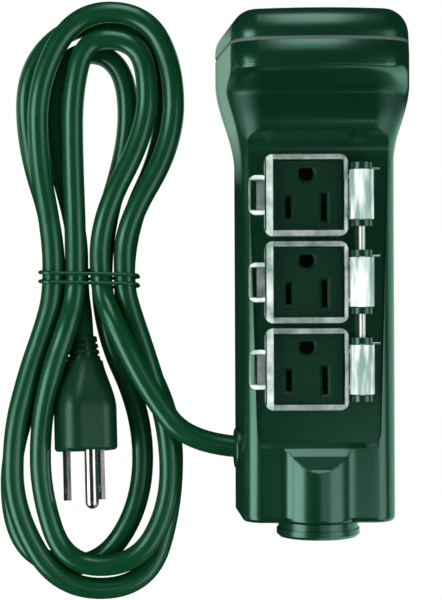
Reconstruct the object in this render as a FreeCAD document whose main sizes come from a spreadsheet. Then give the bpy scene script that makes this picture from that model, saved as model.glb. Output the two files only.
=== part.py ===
import FreeCAD, Part
import math
import os
import re

# Garden socket spike: a power head with three covered sockets, its cord bundled beside it.
# Frame: millimetres, the back lies on z = 0, +Z faces out of the sockets, +Y towards the head.
# The cord side is -X. Y = 0 is the middle of the object's length.

V = FreeCAD.Vector

SIZES = [
    # Moulded body
    ("overall_length", 184.2),
    ("collar_drop", 5.4),
    ("cap_height", 10.9),
    ("seal_thick", 1.2),
    ("wall", 2.5),
    ("body_back_half", 29.4),
    ("side_draft", 0.074),
    ("body_front", 36.5),
    ("shoulder_round", 8.0),
    ("back_round", 2.5),
    ("neck_y", 40.0),
    ("head_half", 36.4),
    ("head_draft", 0.115),
    ("head_front", 57.6),
    ("head_round", 12.0),
    ("head_crown", 12.0),
    ("body_crown", 0.5),
    ("swell_length", 32.0),
    ("hump_y", 56.0),
    ("hump_rise", 4.0),
    ("scoop_dip", 1.0),
    ("lip_y", 71.5),
    ("lip_length", 7.0),
    ("head_stations", 28),
    ("cap_edge_round", 9.2),
    ("foot_round", 2.0),
    ("split_z", 9.0),
    ("split_gap", 0.8),
    # Panel recess and its ramp
    ("panel_foot_half", 21.7),
    ("panel_half", 24.3),
    ("panel_z", 34.5),
    ("panel_top_y", 43.0),
    ("panel_rise", 6.5),
    ("panel_run", 14.0),
    ("panel_flare_y", 38.0),
    ("panel_flare", 5.7),
    ("panel_round", 6.0),
    ("ramp_y", -58.6),
    ("ramp_step", 1.8),
    ("ramp_step_rise", 2.1),
    ("ramp_end_y", -68.4),
    # Spike boss and collar
    ("boss_radius", 15.0),
    ("boss_z", 26.5),
    ("boss_top_y", -50.0),
    ("boss_fillet", 6.0),
    ("boss_end_round", 1.5),
    ("collar_rim_radius", 14.8),
    ("collar_neck_radius", 14.2),
    ("collar_neck_length", 2.5),
    ("sleeve_radius", 12.2),
    ("sleeve_depth", 18.0),
    ("shank_radius", 9.5),
    ("shank_depth", 21.0),
    ("barb_proud", 0.7),
    # Sockets
    ("outlet_x", -4.2),
    ("outlet_y_top", 28.5),
    ("outlet_pitch", 30.5),
    ("face_width", 25.0),
    ("face_height", 24.4),
    ("face_proud", 1.3),
    ("face_flange", 1.5),
    ("flange_overlap", 1.5),
    ("fit_gap", 0.15),
    ("blade_spacing", 12.7),
    ("blade_below", 4.1),
    ("ground_above", 7.8),
    ("line_slot_length", 7.5),
    ("neutral_slot_length", 9.6),
    ("slot_width", 2.0),
    ("slot_lead", 0.95),
    ("ground_hole", 5.4),
    # Flip covers and their hinge
    ("cover_width", 29.3),
    ("cover_height", 28.7),
    ("cover_x", -4.35),
    ("cover_wall", 1.5),
    ("cover_top_wall", 1.2),
    ("cover_rise", 4.6),
    ("cover_round", 3.0),
    ("cover_lift", 0.3),
    ("tab_reach", 5.6),
    ("tab_length", 13.8),
    ("hinge_x", 14.9),
    ("hinge_z", 39.6),
    ("barrel_radius", 4.3),
    ("barrel_length", 17.2),
    ("barrel_bore", 3.3),
    ("knuckle", 3.0),
    ("rod_radius", 1.15),
    ("rod_fit", 0.05),
    ("lug_thick", 2.2),
    ("lug_gap", 0.3),
    ("spring_wire", 0.35),
    ("spring_coil", 2.1),
    ("spring_turns", 6),
    ("lug_radius", 3.7),
    # Screws and their posts
    ("post_radius", 3.6),
    ("small_post_radius", 2.6),
    ("screw_radius", 1.45),
    ("screw_ease", 0.2),
    ("screw_head_radius", 2.7),
    ("screw_head_height", 1.7),
    ("screw_seat", 4.5),
    ("cover_screw_length", 18.0),
    ("small_screw_radius", 1.1),
    ("small_screw_length", 8.0),
    ("foot_screw_x", 21.6),
    ("foot_screw_y", -78.0),
    ("neck_screw_x", 24.5),
    ("neck_screw_y", 56.0),
    ("cap_screw_x", 20.0),
    ("cap_screw_z", 27.0),
    ("lip_thick", 1.4),
    ("lip_high", 1.6),
    ("seal_inset", 0.35),
    # Inside of the body
    ("carrier_z", 12.0),
    ("carrier_thick", 4.0),
    ("carrier_screw_x", 17.2),
    ("barb_length", 1.5),
    # Cord inlet
    ("inlet_y", -61.5),
    ("inlet_z", 20.0),
    ("grommet_sleeve_radius", 5.2),
    ("grommet_flange_radius", 7.4),
    ("grommet_flange_thick", 1.8),
    ("cord_radius", 3.9),
    ("clamp_x", -21.0),
    ("clamp_width", 5.0),
    ("clamp_gap", 0.4),
    ("clamp_screw_y", 7.6),
    ("clamp_end", 3.0),
    ("clamp_bar", 2.0),
    ("small_head_radius", 2.2),
    ("small_head_height", 1.4),
    # Contacts
    ("carrier_end", 10.5),
    ("fence_thick", 0.6),
    ("fence_shift", 3.6),
    ("fence_high", 3.0),
    ("leaf_sheet", 0.6),
    ("leaf_clear", 0.5),
    ("leaf_lean", 0.9),
    ("ground_lean", 0.3),
    ("leaf_flare", 0.8),
    ("leaf_length", 5.0),
    ("blade_gap", 1.3),
    ("ground_gap", 4.4),
    ("bus_width", 4.6),
    ("bus_tail_y", -44.5),
    # Cores of the cord inside the body
    ("core_radius", 1.2),
    ("core_spread", 1.45),
    ("core_start_x", -17.7),
    ("jacket_end_x", -18.0),
    ("core_end_y", -41.0),
    # Cover springs
    ("spring_pitch", 1.5),
    ("spring_leg_up", 1.9),
    # Bundled cord: columns at its tied waist, two layers, and the wire tie
    ("column_first", -95.5),
    ("column_second", -87.2),
    ("column_third", -78.3),
    ("column_fourth", -70.0),
    ("layer_low", 4.0),
    ("layer_high", 12.7),
    ("waist_low", 5.5),
    ("waist_high", 14.1),
    ("lead_bend_x", -44.8),
    ("lead_reach", 18.0),
    ("tie_radius", 0.65),
    ("tie_step", 3.3),
    ("tie_slack", 0.5),
    # Plug: three-pin, its pins set out as the sockets are
    ("plug_roll", -18.0),
    ("plug_inside", 8.0),
    ("relief_start_radius", 4.9),
    ("relief_end_radius", 6.2),
    ("relief_groove", 0.7),
    ("plug_neck_half", 6.6),
    ("plug_neck_z", 9.0),
    ("plug_shoulder_z", 27.0),
    ("plug_face_z", 41.6),
    ("plug_half_width", 10.5),
    ("plug_half_height", 11.1),
    ("plug_round", 6.5),
    ("plug_edge", 0.8),
    ("blade_width", 6.35),
    ("blade_thick", 1.5),
    ("blade_length", 17.9),
    ("blade_root", 5.0),
    ("blade_hole_radius", 1.6),
    ("blade_hole_up", 4.2),
    ("pin_radius", 2.4),
    ("pin_length", 18.7),
    # Small features of the collar, faces and covers
    ("rim_chamfer", 1.0),
    ("shank_lead", 1.0),
    ("ground_flat", 1.9),
    ("cover_edge_round", 0.8),
    ("cover_relief", 1.6),
    ("tab_thick", 2.6),
    ("tab_drop", 1.4),
    ("tab_round", 2.6),
    ("tab_rim", 1.3),
    ("tab_web", 1.1),
    ("leaf_notch", 1.5),
    ("barrel_lap", 1.0),
]

doc = FreeCAD.newDocument("garden_socket_spike")
sheet = doc.addObject("Spreadsheet::Sheet", "Sizes")
for row, (alias, value) in enumerate(SIZES, start=1):
    sheet.set(f"A{row}", alias)
    sheet.set(f"B{row}", str(value))
    sheet.setAlias(f"B{row}", alias)
doc.recompute()
ALIASES = {alias for alias, _ in SIZES}


def size(alias):
    return float(sheet.get(alias))


def cells(formula):
    """The formula with each size's name written as its cell of the sheet."""
    return re.sub(r"[a-z_]+", lambda m: f"Sizes.{m[0]}" if m[0] in ALIASES else m[0], str(formula))


def bind(item, **formulas):
    for prop, formula in formulas.items():
        item.setExpression(prop, cells(formula))
    return item


ALONG = {
    "x": FreeCAD.Rotation(V(0, 1, 0), 90),
    "y": FreeCAD.Rotation(V(1, 0, 0), -90),
    "z": FreeCAD.Rotation(),
}


def place(item, at, along="z"):
    item.Placement = FreeCAD.Placement(V(), ALONG[along])
    for axis, formula in zip("xyz", at):
        item.setExpression(f"Placement.Base.{axis}", cells(formula))
    return item


def box(at, sides):
    item = doc.addObject("Part::Box", "block")
    bind(item, Length=sides[0], Width=sides[1], Height=sides[2])
    return place(item, at)


def leaned_bar(start, radius, length):
    """A round bar on the cord inlet's axis, which leans with the wall it passes."""
    item = doc.addObject("Part::Cylinder", "leaned")
    bind(item, Radius=radius, Height=length)
    turn = "atan(side_draft)"
    wall_face = "-(body_back_half - side_draft * inlet_z)"
    at = (f"{wall_face} + ({start}) * cos({turn})", "inlet_y", f"inlet_z - ({start}) * sin({turn})")
    lean = math.degrees(math.atan(size("side_draft")))
    item.Placement = FreeCAD.Placement(V(), FreeCAD.Rotation(V(0, 1, 0), 90 + lean))
    for axis, formula in zip("xyz", at):
        item.setExpression(f"Placement.Base.{axis}", cells(formula))
    return item


def round_bar(at, along, radius, length):
    item = doc.addObject("Part::Cylinder", "round")
    bind(item, Radius=radius, Height=length)
    return place(item, at, along)


def taper_bar(at, along, radius, end_radius, length):
    item = doc.addObject("Part::Cone", "taper")
    bind(item, Radius1=radius, Radius2=end_radius, Height=length)
    return place(item, at, along)


def fuse(*items):
    item = doc.addObject("Part::MultiFuse", "joined")
    item.Shapes = list(items)
    return item


def cut(base, *tools):
    item = doc.addObject("Part::Cut", "cut")
    item.Base = base
    item.Tool = tools[0] if len(tools) == 1 else fuse(*tools)
    return item


def common(*items):
    item = doc.addObject("Part::MultiCommon", "common")
    item.Shapes = list(items)
    return item


def solid_of(shape):
    item = doc.addObject("Part::Feature", "solid")
    item.Shape = shape
    return item


NODES = {}


def node(name, item):
    item.Label = name
    NODES[name] = item
    return item


# Outer and inner skins of the moulding, lofted through rounded sections across Y


def corner(point, before, after, radius):
    """The two ends and the middle of the arc that rounds a corner."""
    u = (before - point).normalize()
    w = (after - point).normalize()
    half = u.getAngle(w) / 2
    reach = radius / math.tan(half)
    middle = (u + w).normalize()
    return point + u * reach, point + middle * (radius / math.sin(half) - radius), point + w * reach


def section(y, back_half, draft, front, front_round, crown, inset=0.0):
    """A D-shaped ring at y: flat back, drafted sides, rounded front corners and a front that
    arches by the crown's angle, in degrees, all its edges tangent."""
    back_half -= inset
    crown = math.radians(crown)
    round_off = max(front_round - inset, 2.0)
    front_half = back_half - draft * (front - 2 * inset)
    # The side leans in by the draft, so the corner turns by a right angle less the lean and the crown.
    turn = math.pi / 2 - math.atan(draft) - crown
    reach = round_off * math.tan(turn / 2)
    arch_half = front_half - reach * math.cos(crown)
    top = front - inset - reach * math.sin(crown) - arch_half * math.tan(crown / 2)
    peak = V(0, y, top + front_half * math.tan(crown))
    ends = [V(-back_half, y, inset), V(back_half, y, inset)]
    ends += [V(front_half, y, top), V(-front_half, y, top)]
    near = [(ends[3], ends[1]), (ends[0], ends[2]), (ends[1], peak), (peak, ends[0])]
    back_round = max(size("back_round") - inset, 0.6)
    rounds = [back_round, back_round, round_off, round_off]
    arcs = [corner(ends[i], *near[i], rounds[i]) for i in range(4)]
    edges = []
    for i, (start, middle, end) in enumerate(arcs):
        edges.append(Part.Arc(start, middle, end).toShape())
        after = arcs[(i + 1) % 4][0]
        if i == 2:
            edges.append(Part.Arc(end, V(0, y, front - inset), after).toShape())
        else:
            edges.append(Part.LineSegment(end, after).toShape())
    return Part.Wire(edges)


def ring_skin(rings, smooth):
    return Part.makeLoft(rings, True, not smooth)


foot_y = -size("overall_length") / 2 + size("collar_drop")
top_y = size("overall_length") / 2
cap_y = top_y - size("cap_height")
seam_y = cap_y - size("seal_thick")
neck_y = size("neck_y")
wall = size("wall")


def mix(low, high, share):
    return low + (high - low) * share


def ease(low, high, at):
    """From 0 at low to 1 at high, level at both ends."""
    share = min(max((at - low) / (high - low), 0.0), 1.0)
    return share * share * (3 - 2 * share)


def ring(y, inset):
    """The moulding's section at y: the body's up to the neck, and past it the swelling head."""
    swell = ease(neck_y, neck_y + size("swell_length"), y)
    lip = ease(size("lip_y") - size("lip_length"), size("lip_y"), y)
    hump = ease(neck_y + 3, size("hump_y"), y) * size("hump_rise")
    dip = ease(size("hump_y"), size("lip_y") - size("lip_length"), y) * size("scoop_dip")
    grip = size("body_front") + hump - dip
    return section(
        y,
        mix(size("body_back_half"), size("head_half"), swell),
        mix(size("side_draft"), size("head_draft"), swell),
        mix(grip, size("head_front"), lip),
        mix(size("shoulder_round"), size("head_round"), swell),
        mix(size("body_crown"), size("head_crown"), lip),
        inset,
    )


def spread_face(wire, deeper):
    """A flat face, its edge moved outwards by a wall."""
    face = Part.Face(wire)
    return face.makeOffset2D(deeper, 2) if deeper else face


def recess_side():
    """The recess seen from the side: its ramp at the foot, its floor, and the curve up to the grip."""
    floor = size("panel_z")
    high = size("head_front") + 20
    ramp = size("ramp_y")
    step = V(0, ramp - size("ramp_step"), floor + size("ramp_step_rise"))
    far = V(0, size("ramp_end_y"), size("boss_z") + size("boss_radius"))
    beyond = step + (far - step) * ((high - step.z) / (far.z - step.z))
    rise = size("panel_rise")
    run = size("panel_run")
    turn = 2 * math.atan2(rise, run)
    bend = run / (2 * math.sin(turn))
    start = V(0, size("panel_top_y"), floor)
    end = start + V(0, run, rise)
    joint = (start + end) / 2
    half_turn = V(0, bend * math.sin(turn / 2), bend * (1 - math.cos(turn / 2)))
    edges = [
        Part.LineSegment(V(0, ramp, floor), start).toShape(),
        Part.Arc(start, start + half_turn, joint).toShape(),
        Part.Arc(joint, end - half_turn, end).toShape(),
        Part.LineSegment(end, V(0, end.y, high)).toShape(),
        Part.LineSegment(V(0, end.y, high), beyond).toShape(),
        Part.LineSegment(beyond, step).toShape(),
        Part.LineSegment(step, V(0, ramp, floor)).toShape(),
    ]
    return Part.Wire(edges)


def recess_plan():
    """The recess seen from the front: narrower at its rounded foot, and flared at the neck."""
    foot_half = size("panel_foot_half")
    half = size("panel_half")
    neck = size("panel_flare_y")
    end_y = size("panel_top_y") + size("panel_run") + 2
    wide = half + size("panel_flare")
    low = size("ramp_y") - size("ramp_step")
    outline = [V(wide, end_y, 0), V(half, neck, 0), V(foot_half, low, 0)]
    outline += [V(-p.x, p.y, 0) for p in reversed(outline)]
    right = corner(outline[2], outline[1], outline[3], size("panel_round"))
    left = corner(outline[3], outline[2], outline[4], size("panel_round"))
    edges = [
        Part.LineSegment(outline[0], outline[1]).toShape(),
        Part.LineSegment(outline[1], right[0]).toShape(),
        Part.Arc(*right).toShape(),
        Part.LineSegment(right[2], left[0]).toShape(),
        Part.Arc(*left).toShape(),
        Part.LineSegment(left[2], outline[4]).toShape(),
        Part.LineSegment(outline[4], outline[5]).toShape(),
        Part.LineSegment(outline[5], outline[0]).toShape(),
    ]
    return Part.Wire(edges)


def ramp_way():
    """The ramp's way through the boss, past the recess's rounded foot."""
    half = size("boss_radius") + size("boss_fillet")
    return Part.makeBox(2 * half, 60, 200, V(-half, size("ramp_y") - 59, 0))


def recess_tool(deeper):
    """Everything in front of the recess, set deeper by a wall."""
    side = spread_face(recess_side(), deeper)
    side.translate(V(-60, 0, 0))
    plan = spread_face(recess_plan(), deeper).extrude(V(0, 0, 200))
    return side.extrude(V(120, 0, 0)).common(plan.fuse(ramp_way()))


def skin(inset):
    """The moulding's outer form, or its cavity when it is set in by the wall."""
    low = foot_y + inset
    edge = max(size("foot_round") - inset, 0.0)
    rings = []
    if edge:
        for degrees in (90, 67, 45, 22):
            turned = math.radians(degrees)
            in_by = edge * (1 - math.cos(turned))
            rings.append(ring(low + edge * (1 - math.sin(turned)), inset + in_by))
    body = ring_skin([*rings, ring(low + edge, inset), ring(neck_y, inset)], False)
    steps = int(size("head_stations"))
    stations = [mix(neck_y, seam_y, i / steps) for i in range(steps + 1)]
    head = ring_skin([ring(y, inset) for y in stations], True)
    return body.fuse([head, *boss_parts(low, inset)]).cut(recess_tool(inset))


def boss_parts(low, inset):
    """The half-round boss, and outside the flanks that blend it into the front."""
    across = V(0, 1, 0)
    middle = size("boss_z")
    radius = size("boss_radius") - inset
    length = size("boss_top_y") - low
    boss = Part.makeCylinder(radius, length, V(0, low, middle), across)
    if inset:
        return [boss]
    end_edge = [e for e in boss.Edges if e.BoundBox.YMax < low + 0.01]
    boss = boss.makeFillet(size("boss_end_round"), end_edge)
    bend = size("boss_fillet")
    above = size("body_front") - middle
    reach = math.sqrt((radius + bend) ** 2 - (above + bend) ** 2)
    top = middle + radius * (above + bend) / (radius + bend)
    start = low + size("foot_round")
    blend = Part.makeBox(2 * reach, length - size("foot_round"), top - middle, V(-reach, start, middle))
    hollows = [
        Part.makeCylinder(bend, length, V(side * reach, low, size("body_front") + bend), across)
        for side in (-1, 1)
    ]
    return [boss, blend.cut(hollows)]


def layer(shape, low, high):
    """What of a shape lies between two heights."""
    return shape.common(Part.makeBox(400, 600, high - low, V(-200, -300, low)))


def head_section(y, inset):
    return section(
        y,
        size("head_half"),
        size("head_draft"),
        size("head_front"),
        size("head_round"),
        size("head_crown"),
        inset,
    )


outer = skin(0.0)
above_wall = Part.makeBox(400, 400, 400, V(-200, seam_y - wall, -200))
cavity = skin(wall).cut(above_wall)
moulding = outer.cut(cavity)
split_low = size("split_z") - size("split_gap") / 2
split_high = size("split_z") + size("split_gap") / 2
sky = size("head_front") + 20

# Cap of the head: straight for a little, then rounded over to its top
edge_round = size("cap_edge_round")
flank = size("cap_height") - edge_round
cap_rings = [head_section(cap_y + flank * share, 0.0) for share in (0.0, 0.5, 1.0)]
for degrees in range(12, 91, 13):
    turned = math.radians(degrees)
    cap_rings.append(
        head_section(cap_y + flank + edge_round * math.sin(turned), edge_round * (1 - math.cos(turned)))
    )
cap_skin = ring_skin(cap_rings, True)
cap_hollow = ring_skin(
    [
        head_section(cap_y - 1, wall),
        head_section(cap_y + flank, wall),
        head_section(top_y - wall, wall + edge_round * 0.8),
    ],
    False,
)

# Screws: heads and shanks on one axis, as a group of solids for each place they are used


def screw(at, along, head_radius, head_height, shank_radius, length):
    """A pan-head screw: at is the seat under its head, the shank runs along the axis named."""
    step = {"x": 0, "y": 1, "z": 2}[along]
    below = list(at)
    below[step] = f"{at[step]} - {head_height}"
    head = round_bar(below, along, head_radius, head_height)
    shank = round_bar(at, along, shank_radius, length)
    return fuse(head, shank)


def group(items):
    item = doc.addObject("Part::Compound", "group")
    item.Links = list(items)
    return item


LARGE_SCREW = ("screw_head_radius", "screw_head_height", "screw_radius")
SMALL_SCREW = ("small_head_radius", "small_head_height", "small_screw_radius")
COVER_SCREWS = [
    ("-foot_screw_x", "foot_screw_y"),
    ("foot_screw_x", "foot_screw_y"),
    ("-neck_screw_x", "neck_screw_y"),
    ("neck_screw_x", "neck_screw_y"),
]
CAP_SCREWS = [("-cap_screw_x", "cap_screw_z"), ("cap_screw_x", "cap_screw_z")]
CARRIER_SCREWS = [
    (x, f"outlet_y_top - outlet_pitch * {step}")
    for x in ("outlet_x - carrier_screw_x", "outlet_x + carrier_screw_x")
    for step in ("0.5", "1.5")
]
CLAMP_SCREWS = [
    ("clamp_x", "inlet_y - clamp_screw_y"),
    ("clamp_x", "inlet_y + clamp_screw_y"),
]
OUTLETS = {
    "top": "outlet_y_top",
    "middle": "outlet_y_top - outlet_pitch",
    "bottom": "outlet_y_top - outlet_pitch * 2",
}
in_front = "panel_z - wall"


def posts(places, radius, low, high):
    return [round_bar((x, y, low), "z", radius, f"({high}) - ({low})") for x, y in places]


# Front shell
shell = solid_of(layer(moulding, split_high, sky))
post_low = "split_z + split_gap / 2"
post_stock = common(
    solid_of(layer(outer, split_high, sky)),
    fuse(
        *posts(COVER_SCREWS, "post_radius", post_low, "body_front"),
        *posts(CARRIER_SCREWS, "small_post_radius", "carrier_z + carrier_thick", "panel_z - wall / 2"),
        *posts(CLAMP_SCREWS, "small_post_radius", "inlet_z + clamp_gap", "panel_z - wall / 2"),
        box(
            ("clamp_x - clamp_width / 2", "inlet_y - clamp_screw_y", "inlet_z + clamp_gap"),
            ("clamp_width", "clamp_screw_y * 2", "panel_z - wall / 2 - inlet_z - clamp_gap"),
        ),
    ),
)
lugs = []
for y in OUTLETS.values():
    for low in (f"{y} - barrel_length / 2 - lug_gap - lug_thick", f"{y} + barrel_length / 2 + lug_gap"):
        lugs.append(
            box(
                ("hinge_x - lug_radius", low, "panel_z - wall / 2"),
                ("lug_radius * 2", "lug_thick", "hinge_z - panel_z + wall / 2"),
            )
        )
        lugs.append(round_bar(("hinge_x", low, "hinge_z"), "y", "lug_radius", "lug_thick"))
face_holes = [
    box(
        (
            "outlet_x - face_width / 2 - fit_gap",
            f"{y} - face_height / 2 - fit_gap",
            "panel_z - wall - 1",
        ),
        ("face_width + fit_gap * 2", "face_height + fit_gap * 2", "wall + 2"),
    )
    for y in OUTLETS.values()
]
foot = "-overall_length / 2 + collar_drop"
collar_hole = round_bar(("0", f"{foot} - 1", "boss_z"), "y", "sleeve_radius + fit_gap", "wall + 2")
barb_groove = round_bar(
    ("0", f"{foot} + wall", "boss_z"),
    "y",
    "sleeve_radius + barb_proud + fit_gap",
    "barb_length + fit_gap",
)
inlet_hole = leaned_bar("-3", "grommet_sleeve_radius + fit_gap", "6.5")
lower_rod = "outlet_y_top - outlet_pitch * 2 - barrel_length / 2 - lug_gap - lug_thick"
rod_length = "outlet_pitch * 2 + barrel_length + lug_gap * 2 + lug_thick * 2"
rod_hole = round_bar(
    ("hinge_x", f"{lower_rod} - 1", "hinge_z"), "y", "rod_radius + rod_fit", f"{rod_length} + 2"
)
jacket_hole = leaned_bar("1", "cord_radius + rod_fit", "14")
cap_seat = "overall_length / 2 - cap_height - seal_thick - wall"
cap_screw_holes = [
    round_bar((x, f"{cap_seat} - 1", z), "y", "screw_radius + screw_ease", "wall + 2")
    for x, z in CAP_SCREWS
]
cover_pilot = "cover_screw_length + screw_seat + 1"
carrier_pilot = "carrier_z + carrier_thick + small_screw_length"
clamp_pilot = "inlet_z + small_screw_length"
node(
    "front_housing",
    cut(
        fuse(shell, post_stock, *lugs),
        *face_holes,
        collar_hole,
        barb_groove,
        inlet_hole,
        rod_hole,
        jacket_hole,
        *cap_screw_holes,
        *posts(COVER_SCREWS, "screw_radius + rod_fit", "split_z", cover_pilot),
        *posts(CARRIER_SCREWS, "small_screw_radius + rod_fit", "carrier_z", carrier_pilot),
        *posts(CLAMP_SCREWS, "small_screw_radius + rod_fit", "inlet_z", clamp_pilot),
    ),
)

# Back shell, with a lip that registers inside the front shell
lip_core = skin(wall + size("lip_thick"))
lip_foot = layer(outer.cut(lip_core), wall + size("lip_thick"), split_low)
lip_edge = layer(skin(wall + size("fit_gap")).cut(lip_core), split_low, split_high + size("lip_high"))
lip_ring = lip_foot.fuse(lip_edge).cut(Part.makeBox(400, 400, 400, V(-200, seam_y - 2 * wall, -200)))
back_stock = fuse(
    solid_of(layer(moulding, 0, split_low)),
    solid_of(lip_ring),
    common(
        solid_of(layer(outer, 0, split_low)),
        fuse(*posts(COVER_SCREWS, "post_radius", "0", "split_z - split_gap / 2")),
    ),
)
node(
    "back_cover",
    cut(
        back_stock,
        *posts(COVER_SCREWS, "screw_head_radius + screw_ease", "-1", "screw_seat"),
        *posts(COVER_SCREWS, "screw_radius + screw_ease", "0", "split_z + 1"),
    ),
)
node(
    "housing_seal",
    solid_of(
        layer(skin(size("seal_inset")).cut(skin(wall - size("fit_gap"))), split_low, split_high)
        .cut(Part.makeBox(400, 400, 400, V(-200, seam_y - wall, -200)))
    ),
)
node(
    "cover_screws",
    group(
        screw((x, y, "screw_seat"), "z", *LARGE_SCREW, "cover_screw_length")
        for x, y in COVER_SCREWS
    ),
)

# Cap, its grey ring and its screws
cap_posts = [
    round_bar((x, "overall_length / 2 - cap_height", z), "y", "post_radius", "cap_height - 1")
    for x, z in CAP_SCREWS
]
cap_pilots = [
    round_bar(
        (x, "overall_length / 2 - cap_height - 1", z), "y", "screw_radius + rod_fit", "cap_height - 1"
    )
    for x, z in CAP_SCREWS
]
cap_shell = solid_of(cap_skin.cut(cap_hollow))
node("head_cap", cut(fuse(cap_shell, common(solid_of(cap_skin), fuse(*cap_posts))), *cap_pilots))


def seal_skin(inset):
    return ring_skin([head_section(seam_y, inset), head_section(cap_y, inset)], False)


node("cap_seal", solid_of(seal_skin(size("seal_inset")).cut(seal_skin(wall + 1.5))))
node(
    "cap_screws",
    group(
        screw((x, cap_seat, z), "y", *LARGE_SCREW, "seal_thick + wall + cap_height - 3")
        for x, z in CAP_SCREWS
    ),
)

# Collar that takes the spike: rim and neck outside, sleeve with a snap barb inside
rim_chamfered = ("collar_rim_radius - rim_chamfer", "collar_rim_radius", "rim_chamfer")
rim_length = "collar_drop - collar_neck_length - rim_chamfer"
barb_taper = ("sleeve_radius + barb_proud", "sleeve_radius", "barb_length")


def on_axis(from_foot):
    """A place on the collar's axis, measured from the foot of the body."""
    return ("0", f"{foot} + ({from_foot})", "boss_z")


collar_stock = fuse(
    taper_bar(on_axis("-collar_drop"), "y", *rim_chamfered),
    round_bar(on_axis("rim_chamfer - collar_drop"), "y", "collar_rim_radius", rim_length),
    round_bar(on_axis("-collar_neck_length"), "y", "collar_neck_radius", "collar_neck_length"),
    round_bar(on_axis("0"), "y", "sleeve_radius", "sleeve_depth"),
    taper_bar(on_axis("wall + rod_fit"), "y", *barb_taper),
)
shank_hole = fuse(
    round_bar(on_axis("-collar_drop - 1"), "y", "shank_radius", "shank_depth + 1"),
    taper_bar(on_axis("-collar_drop"), "y", "shank_radius + shank_lead", "shank_radius", "shank_lead"),
)
node("spike_collar", cut(collar_stock, shank_hole))

# Socket faces: a plate that shows through the panel, on a flange behind it


def slot_tool(x, y, width, length):
    """A blade slot, with a lead-in that widens to the face."""
    lead = doc.addObject("Part::Wedge", "lead")
    face = "panel_z + face_proud"
    bind(
        lead,
        Xmin=f"-({width}) / 2", Xmax=f"({width}) / 2",
        Zmin=f"-({length}) / 2", Zmax=f"({length}) / 2",
        X2min=f"-({width}) / 2 - slot_lead", X2max=f"({width}) / 2 + slot_lead",
        Z2min=f"-({length}) / 2 - slot_lead", Z2max=f"({length}) / 2 + slot_lead",
        Ymin="0", Ymax="slot_lead",
    )
    lead.Placement = FreeCAD.Placement(V(), FreeCAD.Rotation(V(1, 0, 0), 90))
    for axis, formula in zip("xyz", (x, y, f"{face} - slot_lead")):
        lead.setExpression(f"Placement.Base.{axis}", cells(formula))
    low = "panel_z - wall - face_flange - 1"
    through = box(
        (f"{x} - ({width}) / 2", f"{y} - ({length}) / 2", low),
        (width, length, f"{face} - ({low}) + 1"),
    )
    return fuse(lead, through)


def ground_tool(x, y):
    """The ground pin's hole: round below and flat on top, with a shallow lead-in."""
    low = "panel_z - wall - face_flange - 1"
    tall = "face_proud + wall + face_flange + 2"
    bore = round_bar((x, y, low), "z", "ground_hole / 2", tall)
    mouth = (x, y, "panel_z + face_proud - slot_lead")
    lead = taper_bar(mouth, "z", "ground_hole / 2", "ground_hole / 2 + slot_lead", "slot_lead")
    keep = box(
        (f"{x} - ground_hole", f"{y} - ground_hole", low),
        ("ground_hole * 2", "ground_hole + ground_flat", tall),
    )
    return common(fuse(bore, lead), keep)


def socket_face(y):
    plate = box(
        ("outlet_x - face_width / 2", f"{y} - face_height / 2", "panel_z - wall"),
        ("face_width", "face_height", "wall + face_proud"),
    )
    flange = box(
        (
            "outlet_x - face_width / 2 - flange_overlap",
            f"{y} - face_height / 2 - flange_overlap",
            "panel_z - wall - face_flange",
        ),
        ("face_width + flange_overlap * 2", "face_height + flange_overlap * 2", "face_flange"),
    )
    blades_y = f"{y} - blade_below"
    return cut(
        fuse(plate, flange),
        slot_tool("outlet_x - blade_spacing / 2", blades_y, "slot_width", "line_slot_length"),
        slot_tool("outlet_x + blade_spacing / 2", blades_y, "slot_width", "neutral_slot_length"),
        ground_tool("outlet_x", f"{y} + ground_above"),
    )


for place_name, y in OUTLETS.items():
    node(f"socket_face_{place_name}", socket_face(y))

# Flip covers: a clear box lid with a finger loop, a leaf and a hinge barrel


def upright_rounds(shape, radius):
    """A block with its four upright edges rounded."""
    edges = [e for e in shape.Edges if abs(e.tangentAt(e.FirstParameter).z) > 0.99]
    return shape.makeFillet(radius, edges)


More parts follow.
